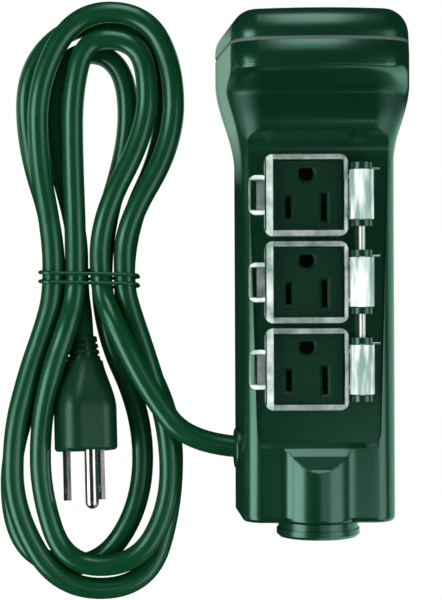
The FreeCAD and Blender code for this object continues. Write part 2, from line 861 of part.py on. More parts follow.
def lid(y):
    width = size("cover_width")
    height = size("cover_height")
    low = size("panel_z") + size("cover_lift")
    rise = size("cover_rise")
    side = size("cover_wall")
    top_wall = size("cover_top_wall")
    left = size("cover_x") - width / 2
    foot_edge = y - height / 2
    outside = Part.makeBox(width, height, rise, V(left, foot_edge, low))
    block = upright_rounds(outside, size("cover_round"))
    top_edges = [e for e in block.Edges if e.BoundBox.ZMin > low + rise - 0.01]
    block = block.makeFillet(size("cover_edge_round"), top_edges)
    hollow_at = V(left + side, foot_edge + side, low - top_wall)
    hollow = Part.makeBox(width - 2 * side, height - 2 * side, rise, hollow_at)
    inside = upright_rounds(hollow, size("cover_round") - side)
    relief_at = V(left + width - side - 0.5, foot_edge + size("cover_round"), low)
    relief = Part.makeBox(side + 1, height - 2 * size("cover_round"), size("cover_relief"), relief_at)
    reach = size("tab_reach")
    rim = size("tab_rim")
    long = size("tab_length")
    thick = size("tab_thick")
    tab_low = low + rise - top_wall - size("tab_drop")
    tab_block = Part.makeBox(reach + side, long, thick, V(left - reach, y - long / 2, tab_low))
    tab = upright_rounds(tab_block, size("tab_round"))
    loop_at = V(left - reach + rim, y - long / 2 + rim, tab_low + size("tab_web"))
    loop = Part.makeBox(reach - rim, long - 2 * rim, 2 * thick, loop_at)
    loop_hole = upright_rounds(loop, size("tab_round") - rim / 2)
    hinge = V(size("hinge_x"), y - size("barrel_length") / 2, size("hinge_z"))
    length = size("barrel_length")
    across = V(0, 1, 0)
    right = left + width
    notch = size("leaf_notch")
    leaf_at = V(right - side / 2, hinge.y + notch, low + rise - top_wall - size("cover_edge_round"))
    leaf = Part.makeBox(hinge.x - right + side / 2, length - 2 * notch, top_wall, leaf_at)
    radius = size("barrel_radius")
    barrel = Part.makeCylinder(radius, length, hinge, across)
    knuckle = size("knuckle")
    room = length - 2 * knuckle
    chamber = Part.makeCylinder(size("barrel_bore"), room, hinge + V(0, knuckle, 0), across)
    mouth_at = hinge + V(-2 * radius, knuckle, -radius - size("barrel_lap"))
    mouth = Part.makeBox(4 * radius, room, radius, mouth_at)
    bore = Part.makeCylinder(size("rod_radius") + size("rod_fit"), length + 2, hinge - across, across)
    body = block.cut([inside, relief]).fuse([tab.cut(loop_hole), leaf, barrel])
    return body.cut([chamber, mouth, bore])


def outlet_place(step):
    return size("outlet_y_top") - step * size("outlet_pitch")


for step, place_name in enumerate(OUTLETS):
    node(f"cover_{place_name}", solid_of(lid(outlet_place(step))))
node("hinge_rod", round_bar(("hinge_x", lower_rod, "hinge_z"), "y", "rod_radius", rod_length))

# Strain relief in the left wall, leaning with the wall's draft
lean = math.degrees(math.atan(size("side_draft")))
wall_x = -(size("body_back_half") - size("side_draft") * size("inlet_z"))
flange_thick = size("grommet_flange_thick")
outwards = V(-flange_thick, 0, 0)
inwards = V(1, 0, 0)
flange = Part.makeCylinder(size("grommet_flange_radius"), flange_thick, outwards, inwards)
flange_rim = [e for e in flange.Edges if e.BoundBox.XMax < -flange_thick + 0.01]
flange = flange.makeFillet(flange_thick * 0.6, flange_rim)
sleeve_radius = size("grommet_sleeve_radius")
sleeve = Part.makeCylinder(sleeve_radius, wall + 1.2, V(), inwards)
catch = Part.makeCone(sleeve_radius + 0.8, sleeve_radius, 1.2, V(wall, 0, 0), inwards)
cord_hole = Part.makeCylinder(size("cord_radius") + size("rod_fit"), 30, V(-15, 0, 0), inwards)
grommet_item = solid_of(flange.fuse([sleeve, catch]).cut(cord_hole))
grommet_item.Placement = FreeCAD.Placement(
    V(wall_x, size("inlet_y"), size("inlet_z")), FreeCAD.Rotation(V(0, 1, 0), lean)
)
node("cord_grommet", grommet_item)
clamp_under = "inlet_z - cord_radius - clamp_bar"
clamp_reach = "cord_radius + clamp_bar + small_screw_length - 1"
node(
    "cord_clamp",
    cut(
        box(
            ("clamp_x - clamp_width / 2", "inlet_y - clamp_screw_y - clamp_end", clamp_under),
            ("clamp_width", "(clamp_screw_y + clamp_end) * 2", "cord_radius + clamp_bar - clamp_gap"),
        ),
        leaned_bar("1", "cord_radius + rod_fit", "14"),
        *posts(CLAMP_SCREWS, "small_screw_radius + screw_ease", f"{clamp_under} - 1", "inlet_z"),
    ),
)
node(
    "clamp_screws",
    group(
        screw((x, y, clamp_under), "z", *SMALL_SCREW, clamp_reach)
        for x, y in CLAMP_SCREWS
    ),
)

# Contact carrier behind the faces, and the three brass strips it holds
carrier_top = "carrier_z + carrier_thick"
carrier_low_y = "outlet_y_top - outlet_pitch * 2 - carrier_end"
carrier_tall = "outlet_pitch * 2 + carrier_end * 2"
strip_wall = [
    box(
        (f"outlet_x + ({shift}) - fence_thick / 2", carrier_low_y, carrier_top),
        ("fence_thick", carrier_tall, "fence_high"),
    )
    for shift in ("-fence_shift", "fence_shift")
]
node(
    "contact_carrier",
    cut(
        fuse(
            box(
                ("outlet_x - carrier_screw_x - small_post_radius", carrier_low_y, "carrier_z"),
                ("(carrier_screw_x + small_post_radius) * 2", carrier_tall, "carrier_thick"),
            ),
            *strip_wall,
        ),
        *posts(CARRIER_SCREWS, "small_screw_radius + screw_ease", "carrier_z", carrier_top),
    ),
)
node(
    "carrier_screws",
    group(
        screw((x, y, "carrier_z"), "z", *SMALL_SCREW, "carrier_thick + small_screw_length")
        for x, y in CARRIER_SCREWS
    ),
)


def clip(x, y, gap, lean, length):
    """Two spring leaves on a foot, leaning in to the blade's gap and flaring out at the top."""
    low = size("carrier_z") + size("carrier_thick")
    high = size("panel_z") - wall - size("face_flange") - size("leaf_clear")
    thick = size("leaf_sheet")
    pinch = high - size("leaf_flare") * 1.5
    leaves = []
    for side in (-1, 1):
        inner = [(gap / 2 + lean, low), (gap / 2, pinch), (gap / 2 + size("leaf_flare"), high)]
        outline = inner + [(dx + thick, z) for dx, z in reversed(inner)]
        points = [V(x + side * dx, y - length / 2, z) for dx, z in outline]
        leaves.append(Part.Face(Part.makePolygon(points + points[:1])).extrude(V(0, length, 0)))
    half = gap / 2 + lean + thick
    return leaves + [Part.makeBox(half * 2, length, thick, V(x - half, y - length / 2, low))]


def bus(x, offset, gap, lean, width):
    """A strip along the body with a clip for each socket and a tail for its wire."""
    low = size("carrier_z") + size("carrier_thick")
    length = size("leaf_length")
    last = size("bus_tail_y")
    first = outlet_place(0) + offset + length / 2
    strip = Part.makeBox(width, first - last, size("leaf_sheet"), V(x - width / 2, last, low))
    leaves = []
    for step in range(3):
        leaves += clip(x, outlet_place(step) + offset, gap, lean, length)
    return strip.fuse(leaves)


bus_width = size("bus_width")
hot_x = size("outlet_x") - size("blade_spacing") / 2
neutral_x = size("outlet_x") + size("blade_spacing") / 2
ground_x = size("outlet_x")
for bus_name, x in (("line_bus", hot_x), ("neutral_bus", neutral_x)):
    blade_bus = bus(x, -size("blade_below"), size("blade_gap"), size("leaf_lean"), bus_width)
    node(bus_name, solid_of(blade_bus))
ground_width = bus_width * 0.8
ground_gap = size("ground_gap")
ground_strip = bus(ground_x, size("ground_above"), ground_gap, size("ground_lean"), ground_width)
node("ground_bus", solid_of(ground_strip))

# Tubes that follow straight runs joined by tangent arcs


def bent_path(points, name, radius=None):
    """Straight runs with an arc at each inner point, as large as its two runs allow."""
    edges = []
    radii = []
    at = points[0]
    for before, point, after in zip(points, points[1:], points[2:]):
        turn = (point - before).getAngle(after - point)
        shorter = min((point - before).Length, (after - point).Length)
        reach = 0.45 * shorter if radius is None else radius * math.tan(turn / 2)
        bend = reach / math.tan(turn / 2)
        start, middle, end = corner(point, before, after, bend)
        edges.append(Part.LineSegment(at, start).toShape())
        edges.append(Part.Arc(start, middle, end).toShape())
        at = end
        radii.append(bend)
    edges.append(Part.LineSegment(at, points[-1]).toShape())
    print(name, "length", round(sum(e.Length for e in edges)), "radii", [round(r, 1) for r in radii])
    return edges


def tube(edges, radius, name):
    """A round tube along tangent edges, its volume compared with section times length."""
    path = Part.Wire(edges)
    start = edges[0].valueAt(edges[0].FirstParameter)
    heading = edges[0].tangentAt(edges[0].FirstParameter)
    ring_edge = Part.Wire(Part.makeCircle(radius, start, heading))
    solid = path.makePipeShell([ring_edge], True, False)
    wanted = math.pi * radius**2 * sum(e.Length for e in edges)
    print(name, "volume", round(solid.Volume), "of", round(wanted), solid.isValid())
    return solid


core_radius = size("core_radius")
spread = size("core_spread")


def inlet_axis(x):
    """The point of the inlet's leaning axis at x."""
    return V(x, size("inlet_y"), size("inlet_z") - (x - wall_x) * size("side_draft"))


inlet = inlet_axis(size("core_start_x"))
strip_top = size("carrier_z") + size("carrier_thick") + size("leaf_sheet")
CORES = {
    "wire_line": (hot_x, spread, -spread / 2),
    "wire_neutral": (neutral_x, -spread, -spread / 2),
    "wire_ground": (ground_x, 0, spread),
}
for core_name, (x, aside, above) in CORES.items():
    start = inlet + V(0, aside, above)
    bend = V(x, start.y, start.z - 0.8)
    end = V(x, size("core_end_y"), strip_top + core_radius)
    landing = V(x, size("bus_tail_y"), end.z)
    core_path = bent_path([start, bend, landing, end], core_name)
    node(core_name, solid_of(tube(core_path, core_radius, core_name)))

# Torsion springs round the hinge rod: six curls, a leg down to the panel and one against the barrel


def cover_spring(y):
    wire = size("spring_wire")
    coil = size("spring_coil")
    long = size("spring_pitch") * size("spring_turns")
    helix = Part.makeHelix(size("spring_pitch"), long, coil)
    turns = [k * math.pi / 3 for k in range(7)]
    ring_wire = Part.makePolygon([V(coil + wire * math.cos(a), 0, wire * math.sin(a)) for a in turns])
    coils = Part.Wire(helix.Edges).makePipeShell([ring_wire], True, False)
    leg_up = Part.makeCylinder(wire, size("spring_leg_up"), V(coil, 0, 0), V(0, -1, 0))
    drop = size("hinge_z") - size("panel_z")
    leg_down = Part.makeCylinder(wire, drop, V(coil, 0, long), V(0, 1, 0))
    spring = coils.fuse([leg_up, leg_down])
    print("spring gap between curls", size("spring_pitch") - 2 * wire)
    item = solid_of(spring)
    item.Placement = FreeCAD.Placement(V(size("hinge_x"), y - long / 2, size("hinge_z")), ALONG["y"])
    return item


for step, place_name in enumerate(OUTLETS):
    node(f"spring_{place_name}", cover_spring(outlet_place(step)))

# The bundled cord: one run of loops in two layers, tied at its waist

FIRST = size("column_first")
SECOND = size("column_second")
THIRD = size("column_third")
FOURTH = size("column_fourth")
LOW = size("layer_low")
HIGH = size("layer_high")
WAIST_LOW = size("waist_low")
WAIST_HIGH = size("waist_high")
UP, DOWN, LEFT, RIGHT = (0, 1), (0, -1), (-1, 0), (1, 0)

# Each station is a point of the cord's middle line and its heading, as X, Y and slope
HANK = [
    (-68.7, -24.5, 22.1, (-0.5, 1)),
    (THIRD, 3, WAIST_HIGH, UP),
    # Upper inner loop above the waist
    (-61.0, 73, HIGH, UP),
    (-73.5, 87.4, HIGH, LEFT),
    (-88.3, 57.8, HIGH, DOWN),
    (SECOND, 0, WAIST_HIGH, DOWN),
    # Inner loop below the waist, lifted over the plug's strain relief
    (-92.3, -24, 17.9, (-0.36, -1)),
    (-100.5, -64, HIGH + 0.5, DOWN),
    (-77.7, -104.9, HIGH, RIGHT),
    (-53.2, -71, HIGH, UP),
    (-66.6, -14, 13.9, (-0.34, 1)),
    (FOURTH + 0.5, 1, WAIST_HIGH, UP),
    # Upper outer loop above the waist
    (-51.3, 67, HIGH, UP),
    (-73.0, 97.2, HIGH, LEFT),
    (-101.0, 57.8, HIGH, DOWN),
    (FIRST, 0, WAIST_HIGH, DOWN),
    # Outer loop below the waist, which drops to the lower layer
    (-100.9, -24, 14.0, (-0.36, -1)),
    (-110.4, -68, HIGH + 1.2, DOWN),
    (-77.3, -113.9, 9.1, (1, 0, -0.18)),
    (-52.5, -68, LOW, UP),
    (FOURTH, 0, WAIST_LOW, UP),
    # Lower outer loop above the waist
    (-55.1, 66, LOW, UP),
    (-79.0, 94, LOW, LEFT),
    (-106.1, 66, LOW, DOWN),
    (FIRST, 0, WAIST_LOW, DOWN),
    # Lower loop below the waist
    (-112.4, -82, LOW, DOWN),
    (-92.0, -106, LOW, RIGHT),
    (-63.6, -68, LOW, UP),
    (THIRD, 0, WAIST_LOW, UP),
    # Lower inner loop above the waist, then down to the plug
    (-68.5, 66, LOW, UP),
    (-82.5, 83.5, LOW, LEFT),
    (-96.0, 64, LOW, DOWN),
    (SECOND, 2, WAIST_LOW, DOWN),
    (-85.0, -21.5, 8.9, (0.03, -1, 0.12)),
]


def station(x, y, z, heading):
    return V(x, y, z), V(*heading).normalize()


def joined_arcs(start, heading, end, end_heading):
    """The two corners and the joint of a pair of arcs that leave and arrive along the headings."""
    across = end - start
    both = heading + end_heading
    square = both.dot(both) - 4
    along = across.dot(both)
    if abs(square) < 1e-9:
        reach = across.dot(across) / (4 * across.dot(heading))
    else:
        root = math.sqrt(along**2 - square * across.dot(across))
        reach = (along - root) / square if (along - root) / square > 0 else (along + root) / square
    first = start + heading * reach
    last = end - end_heading * reach
    return first, (first + last) / 2, last


def arc_to(start, elbow, end):
    """The arc that touches start to elbow and elbow to end, or a line where they are one."""
    turn = (elbow - start).getAngle(end - elbow)
    if turn < 1e-4:
        return Part.LineSegment(start, end).toShape()
    bend = (elbow - start).Length / math.tan(turn / 2)
    middle = corner(elbow, start, end, bend)[1]
    return Part.Arc(start, middle, end).toShape()


def hank_path():
    edges = []
    stations = [station(*values) for values in HANK]
    for (start, heading), (end, end_heading) in zip(stations, stations[1:]):
        first, joint, last = joined_arcs(start, heading, end, end_heading)
        edges += [arc_to(start, first, joint), arc_to(joint, last, end)]
    end, heading = stations[-1]
    return edges + [Part.LineSegment(end, end + heading * size("plug_inside")).toShape()]


def least_gap(edges, radius):
    """The smallest distance between the tube's own surfaces, on points 2 mm apart."""
    points = []
    for edge in edges:
        points += edge.discretize(max(3, round(edge.Length / 2)))[:-1]
    near = 12
    return min((a - b).Length for i, a in enumerate(points) for b in points[i + near:]) - 2 * radius


cord_radius = size("cord_radius")
hank_edges = hank_path()
hank_length = sum(edge.Length for edge in hank_edges)
bends = [edge.Curve.Radius for edge in hank_edges if hasattr(edge.Curve, "Radius")]
print("hank length", round(hank_length), "tightest bends", [round(r, 1) for r in sorted(bends)[:6]])
print("hank least gap to itself", round(least_gap(hank_edges, cord_radius), 3))
node("cord_hank", solid_of(tube(hank_edges, cord_radius, "cord_hank")))

hank_start, start_heading = station(*HANK[0])
lead = [
    inlet_axis(size("jacket_end_x")),
    inlet_axis(size("lead_bend_x")),
    hank_start - start_heading * size("lead_reach"),
    hank_start,
]
lead_edges = bent_path(lead, "cord_lead")
node("cord_lead", solid_of(tube(lead_edges, cord_radius, "cord_lead")))

# Wire tie: two turns round the waist, its ends beneath
tie_radius = size("tie_radius")
snug = cord_radius + size("fit_gap") + tie_radius
tie_left = FIRST - snug
tie_right = FOURTH + 0.5 + snug
tie_low = WAIST_LOW - snug
tie_high = WAIST_HIGH + snug + size("tie_slack")
tie_middle = (tie_left + tie_right) / 2
tie_turn = [(tie_right, tie_low), (tie_right, tie_high), (tie_left, tie_high), (tie_left, tie_low)]
tie_points = [V(tie_middle, -size("tie_step"), tie_low)]
for k in range(8):
    x, z = tie_turn[k % 4]
    tie_points.append(V(x, size("tie_step") * ((k + 0.5) / 4 - 1), z))
tie_points.append(V(tie_middle + 3, size("tie_step"), tie_low))
node("hank_tie", solid_of(tube(bent_path(tie_points, "hank_tie", snug), tie_radius, "hank_tie")))

# Plug, drawn along its own axis from where the cord enters it, then laid in place


def plug_ring(along, half_width, half_height, rounding):
    block = Part.makeBox(2 * half_width, 2 * half_height, 1, V(-half_width, -half_height, along))
    face = min(upright_rounds(block, rounding).Faces, key=lambda f: f.CenterOfMass.z)
    return face.OuterWire


def plug_section(along, inset=0.0):
    """Round at the neck, swelling to the full width at the shoulder."""
    share = ease(size("plug_neck_z") - 3, size("plug_shoulder_z"), along)
    half_width = mix(size("plug_neck_half"), size("plug_half_width"), share) - inset
    half_height = mix(size("plug_neck_half"), size("plug_half_height"), share) - inset
    return plug_ring(along, half_width, half_height, size("plug_round") - inset)


plug_start, plug_heading = station(*HANK[-1])
plug_place = FreeCAD.Placement(
    plug_start,
    FreeCAD.Rotation(plug_heading, size("plug_roll"))
    * FreeCAD.Rotation(V(0, -1, 0), plug_heading)
    * FreeCAD.Rotation(V(1, 0, 0), 90),
)
neck_z = size("plug_neck_z")
shoulder_z = size("plug_shoulder_z")
face_z = size("plug_face_z")
swell = ring_skin([plug_section(mix(neck_z, shoulder_z, i / 6)) for i in range(7)], True)
plug_edge = size("plug_edge")
barrel = ring_skin([plug_section(shoulder_z), plug_section(face_z - plug_edge)], False)
tip = ring_skin([plug_section(face_z - plug_edge), plug_section(face_z, plug_edge)], False)


def plug_blade(x):
    """A flat blade with a hole near its tip, rooted in the body."""
    blade = box(
        (f"{x} - blade_thick / 2", "-blade_below - blade_width / 2", "plug_face_z - blade_root"),
        ("blade_thick", "blade_width", "blade_root + blade_length"),
    )
    hole_z = "plug_face_z + blade_length - blade_hole_up"
    return cut(blade, round_bar((f"{x} - 2", "-blade_below", hole_z), "x", "blade_hole_radius", "4"))


def plug_pin():
    root = ("0", "ground_above", "plug_face_z - blade_root")
    pin = round_bar(root, "z", "pin_radius", "blade_root + pin_length")
    tip_ball = doc.addObject("Part::Sphere", "ball")
    bind(tip_ball, Radius="pin_radius")
    place(tip_ball, ("0", "ground_above", "plug_face_z + pin_length"))
    return fuse(pin, tip_ball)


PLUG_PINS = {
    "plug_line_blade": plug_blade("-blade_spacing / 2"),
    "plug_neutral_blade": plug_blade("blade_spacing / 2"),
    "plug_ground_pin": plug_pin(),
}
relief = taper_bar(("0", "0", "0"), "z", "relief_start_radius", "relief_end_radius", "plug_neck_z")
jacket = round_bar(("0", "0", "-1"), "z", "cord_radius + rod_fit", "plug_inside + 1 + rod_fit")
relief_growth = "(relief_end_radius - relief_start_radius)"
grooves = []
for share in ("0.25", "0.5", "0.75"):
    groove_at = ("0", "0", f"plug_neck_z * {share} - 0.5")
    around = round_bar(groove_at, "z", "relief_end_radius + 1", "1")
    groove_radius = f"relief_start_radius + {relief_growth} * {share} - relief_groove"
    core = round_bar(groove_at, "z", groove_radius, "1")
    grooves.append(cut(around, core))
plug_items = {
    "plug_body": cut(solid_of(swell.fuse([barrel, tip])), *PLUG_PINS.values()),
    "plug_strain_relief": cut(relief, jacket, *grooves),
    **PLUG_PINS,
}
for plug_name, item in plug_items.items():
    if plug_name not in PLUG_PINS:
        item.Placement = plug_place
    node(plug_name, item)
for plug_name, item in PLUG_PINS.items():
    link = doc.addObject("Part::Compound", "laid")
    link.Links = [item]
    link.Placement = plug_place
    node(plug_name, link)

doc.recompute()

# Every object is sound before any file is written
for item in doc.Objects:
    if "Invalid" in item.State or "Error" in item.State:
        raise RuntimeError(f"{item.Name} ({item.Label}) did not compute: {item.State}")
for name, item in NODES.items():
    if item.Shape.isNull() or not item.Shape.isValid() or not item.Shape.Solids:
        raise RuntimeError(f"{name} has no valid solid")
os.makedirs("parts", exist_ok=True)
for name, item in NODES.items():
    item.Shape.exportStep(f"parts/{name}.step")
    print(name, len(item.Shape.Solids), "solids", round(item.Shape.Volume), "mm3")
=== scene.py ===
"""Looks of the garden power head: dark green mouldings, clear flip covers, its cord tied in a hank.

Units are metres. The frame is the CAD model's: the back lies on z = 0, +Z faces out of the
sockets, +Y runs to the capped head, and the cord lies on the -X side.
"""

import math

import bmesh
import bpy
from mathutils import Matrix, Vector


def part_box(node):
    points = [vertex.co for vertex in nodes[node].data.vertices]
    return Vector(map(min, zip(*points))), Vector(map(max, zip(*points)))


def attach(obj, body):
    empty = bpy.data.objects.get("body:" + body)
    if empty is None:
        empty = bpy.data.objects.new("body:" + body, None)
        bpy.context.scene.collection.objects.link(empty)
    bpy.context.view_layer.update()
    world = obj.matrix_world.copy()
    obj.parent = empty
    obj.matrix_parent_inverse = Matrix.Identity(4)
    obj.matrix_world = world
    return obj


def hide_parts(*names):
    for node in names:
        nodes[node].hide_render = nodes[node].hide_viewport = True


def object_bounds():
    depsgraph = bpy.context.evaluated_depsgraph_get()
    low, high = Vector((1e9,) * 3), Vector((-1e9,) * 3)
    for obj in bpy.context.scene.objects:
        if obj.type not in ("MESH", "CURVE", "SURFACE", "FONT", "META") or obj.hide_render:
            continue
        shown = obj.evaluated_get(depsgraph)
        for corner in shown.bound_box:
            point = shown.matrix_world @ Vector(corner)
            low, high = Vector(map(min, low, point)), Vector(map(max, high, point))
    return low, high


MM = 0.001
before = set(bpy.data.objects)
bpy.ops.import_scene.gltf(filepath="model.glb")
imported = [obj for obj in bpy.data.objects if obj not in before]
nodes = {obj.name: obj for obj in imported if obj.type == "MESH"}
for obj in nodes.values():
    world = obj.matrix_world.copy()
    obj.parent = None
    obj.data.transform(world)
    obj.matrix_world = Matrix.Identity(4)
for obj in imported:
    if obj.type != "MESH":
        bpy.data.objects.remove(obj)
cad_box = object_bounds()


def add_object(name, data):
    made = bpy.data.objects.new(name, data)
    bpy.context.scene.collection.objects.link(made)
    return made


def add_mesh(name, mesh):
    """An object of a bmesh, which it uses up."""
    data = bpy.data.meshes.new(name)
    mesh.to_mesh(data)
    mesh.free()
    return add_object(name, data)


def middle(node):
    low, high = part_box(node)
    return (low + high) / 2


# Camera: straight above the head and its cord, as in the photograph

PICTURE_HEIGHT = 600
FOCUS_PIXELS = 1607
SENSOR_SIZE = 36.0
CAMERA_PLACE = (-0.0343, -0.0081, 0.6)
CAMERA_TURN = math.radians(-0.25)

camera = add_object("camera", bpy.data.cameras.new("camera"))
camera.data.sensor_width = SENSOR_SIZE
camera.data.lens = FOCUS_PIXELS / PICTURE_HEIGHT * SENSOR_SIZE
camera.location = CAMERA_PLACE
camera.rotation_euler.z = CAMERA_TURN
bpy.context.scene.camera = camera

# Cord: out of the left wall, three and a half loops tied at the waist, then into the plug

CORD_RADIUS = 3.9 * MM
INLET_FACE = Vector((-27.92, -61.5, 20.0)) * MM
WALL_LEAN = 0.074
JACKET_END_X = -18.0 * MM
LEAD_BEND_X = -44.8 * MM
LEAD_REACH = 18.0 * MM
PLUG_INSIDE = 8.0 * MM
SAME_WAY = 1e-9

# The strands' places across the waist, and the heights of their two layers, in millimetres
FIRST, SECOND, THIRD, FOURTH = -95.5, -87.2, -78.3, -70.0
LOW, HIGH, WAIST_LOW, WAIST_HIGH = 4.0, 12.7, 5.5, 14.1
UP, DOWN, LEFT, RIGHT = (0, 1), (0, -1), (-1, 0), (1, 0)

# Each station is a point of the cord's middle line in millimetres, and its heading
HANK = [
    (-68.7, -24.5, 22.1, (-0.5, 1)),
    (THIRD, 3, WAIST_HIGH, UP),
    # Upper inner loop above the waist
    (-61.0, 73, HIGH, UP),
    (-73.5, 87.4, HIGH, LEFT),
    (-88.3, 57.8, HIGH, DOWN),
    (SECOND, 0, WAIST_HIGH, DOWN),
    # Inner loop below the waist, lifted over the plug's strain relief
    (-92.3, -24, 17.9, (-0.36, -1)),
    (-100.5, -64, HIGH + 0.5, DOWN),
    (-77.7, -104.9, HIGH, RIGHT),
    (-53.2, -71, HIGH, UP),
    (-66.6, -14, 13.9, (-0.34, 1)),
    (FOURTH + 0.5, 1, WAIST_HIGH, UP),
    # Upper outer loop above the waist
    (-51.3, 67, HIGH, UP),
    (-73.0, 97.2, HIGH, LEFT),
    (-101.0, 57.8, HIGH, DOWN),
    (FIRST, 0, WAIST_HIGH, DOWN),
    # Outer loop below the waist, which drops to the lower layer
    (-100.9, -24, 14.0, (-0.36, -1)),
    (-110.4, -68, HIGH + 1.2, DOWN),
    (-77.3, -113.9, 9.1, (1, 0, -0.18)),
    (-52.5, -68, LOW, UP),
    (FOURTH, 0, WAIST_LOW, UP),
    # Lower outer loop above the waist
    (-55.1, 66, LOW, UP),
    (-79.0, 94, LOW, LEFT),
    (-106.1, 66, LOW, DOWN),
    (FIRST, 0, WAIST_LOW, DOWN),
    # Lower loop below the waist
    (-112.4, -82, LOW, DOWN),
    (-92.0, -106, LOW, RIGHT),
    (-63.6, -68, LOW, UP),
    (THIRD, 0, WAIST_LOW, UP),
    # Lower inner loop above the waist, then down to the plug
    (-68.5, 66, LOW, UP),
    (-82.5, 83.5, LOW, LEFT),
    (-96.0, 64, LOW, DOWN),
    (SECOND, 2, WAIST_LOW, DOWN),
    (-85.0, -21.5, 8.9, (0.03, -1, 0.12)),
]


def station(x, y, z, heading):
    """A point in metres, and its heading, which is level unless it has a third number."""
    return Vector((x, y, z)) * MM, Vector((*heading, 0)[:3]).normalized()


def bend_corners(start, heading, end, end_heading):
    """The two corners of the pair of bends that leave and arrive along the headings."""
    across = end - start
    both = heading + end_heading
    square = both.length_squared - 4
    along = across.dot(both)
    if abs(square) < SAME_WAY:
        reach = across.length_squared / (4 * across.dot(heading))
    else:
        root = math.sqrt(along**2 - square * across.length_squared)
        reach = max((along - root) / square, (along + root) / square)
    return [start + heading * reach, end - end_heading * reach]


def inlet_axis(x):
    """The point at x of the axis on which the cord passes the leaning wall."""
    return Vector((x, INLET_FACE.y, INLET_FACE.z - (x - INLET_FACE.x) * WALL_LEAN))


def cord_route():
    stations = [station(*values) for values in HANK]
    start, heading = stations[0]
    route = [inlet_axis(JACKET_END_X), inlet_axis(LEAD_BEND_X), start - heading * LEAD_REACH]
    for (start, heading), (end, end_heading) in zip(stations, stations[1:]):
        route += bend_corners(start, heading, end, end_heading)
    end, heading = stations[-1]
    return route + [end + heading * PLUG_INSIDE]


def smooth_cord(name, route, radius):
    """One NURBS spline; with a bevel of one metre, the radius of its points is the cord's own."""
    data = bpy.data.curves.new(name, "CURVE")
    data.dimensions = "3D"
    data.bevel_depth = 1.0
    data.bevel_resolution = 8
    data.resolution_u = 14
    data.use_fill_caps = True
    spline = data.splines.new("NURBS")
    spline.points.add(len(route) - 1)
    for point, place in zip(spline.points, route):
        point.co = (*place, 1)
        point.radius = radius
    spline.order_u = 3
    spline.use_endpoint_u = True
    return add_object(name, data)


cord = smooth_cord("cord", cord_route(), CORD_RADIUS)
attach(cord, "housing")
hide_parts("cord_lead", "cord_hank")

# Shader maths

# Sockets of a Mix node that mixes two colours
MIX_SHARE, MIX_FIRST, MIX_SECOND, MIX_RESULT = 0, 6, 7, 2


class Value:
    """A shader output that takes Python's arithmetic and adds the Math nodes for it."""

    def __init__(self, finish, output):
        self.finish = finish
        self.output = output

    def math(self, operation, *inputs):
        return self.finish.node("ShaderNodeMath", {"operation": operation}, dict(enumerate(inputs)))

    def __add__(self, other):
        return self.math("ADD", self, other)

    def __sub__(self, other):
        return self.math("SUBTRACT", self, other)

    def __rsub__(self, other):
        return self.math("SUBTRACT", other, self)

    def __mul__(self, other):
        return self.math("MULTIPLY", self, other)

    def __truediv__(self, other):
        return self.math("DIVIDE", self, other)

    __radd__ = __add__
    __rmul__ = __mul__

    def size(self):
        return self.math("ABSOLUTE", self)

    def larger(self, other):
        return self.math("MAXIMUM", self, other)

    def smaller(self, other):
        return self.math("MINIMUM", self, other)

    def past(self, edge, soft):
        """0 up to the edge and 1 past it, with a soft step between."""
        return ((self - edge) / soft).larger(0.0).smaller(1.0)

    def about(self, level, spread):
        """A level that this value, 0 to 1, moves up and down within the spread."""
        return self * spread + (level - spread / 2)


class Finish:
    """One material, or the world, built node by node."""

    def __init__(self, name, owner=None):
        self.material = owner or bpy.data.materials.new(name)
        self.material.use_nodes = True
        self.tree = self.material.node_tree
        self.tree.nodes.clear()
        self.place = self.node("ShaderNodeTexCoord", output="Object")

    def node(self, kind, settings=None, inputs=None, output=0):
        """Adds a node with its settings and inputs, and gives one of its outputs."""
        made = self.tree.nodes.new(kind)
        for name, setting in (settings or {}).items():
            setattr(made, name, setting)
        for key, value in (inputs or {}).items():
            if isinstance(value, Value):
                self.tree.links.new(value.output, made.inputs[key])
            else:
                made.inputs[key].default_value = value
        return None if output is None else Value(self, made.outputs[output])

    def axis(self, name):
        return self.node("ShaderNodeSeparateXYZ", inputs={0: self.place}, output=name)

    def noise(self, scale, detail, stretch=None):
        place = self.place
        if stretch:
            place = self.node("ShaderNodeMapping", inputs={"Vector": place, "Scale": stretch})
        inputs = {"Vector": place, "Scale": scale, "Detail": detail}
        return self.node("ShaderNodeTexNoise", inputs=inputs)

    def mix(self, share, first, second):
        """A colour between two colours."""
        first, second = (c if isinstance(c, Value) else (*c, 1) for c in (first, second))
        inputs = {MIX_SHARE: share, MIX_FIRST: first, MIX_SECOND: second}
        return self.node("ShaderNodeMix", {"data_type": "RGBA"}, inputs, MIX_RESULT)

    def clouded(self, share, colour, spread):
        """A colour that goes from darker to lighter by the spread."""
        return self.mix(share, shade(colour, 1 - spread), shade(colour, 1 + spread))

    def ray(self, kind):
        """1 for rays of one kind, such as Camera or Glossy, and 0 for the others."""
        return self.node("ShaderNodeLightPath", output=f"Is {kind} Ray")

    def bump(self, height, depth, under=None):
        inputs = {"Height": height, "Distance": depth}
        if under:
            inputs["Normal"] = under
        return self.node("ShaderNodeBump", inputs=inputs)

    def surface(self, **sockets):
        """Ends the material in a Principled shader; an underscore stands for a space."""
        inputs = {key.replace("_", " "): value for key, value in sockets.items()}
        self.output(self.node("ShaderNodeBsdfPrincipled", inputs=inputs))
        return self.material

    def output(self, shader, kind="ShaderNodeOutputMaterial"):
        self.node(kind, inputs={"Surface": shader}, output=None)


def screen(red, green, blue):
    """A colour as a screen shows it, 0 to 255, made linear by the standard curve."""
    levels = [level / 255 for level in (red, green, blue)]
    return tuple(((v + 0.055) / 1.055) ** 2.4 if v > 0.04045 else v / 12.92 for v in levels)


def shade(colour, share):
    return tuple(level * share for level in colour)


# Mouldings

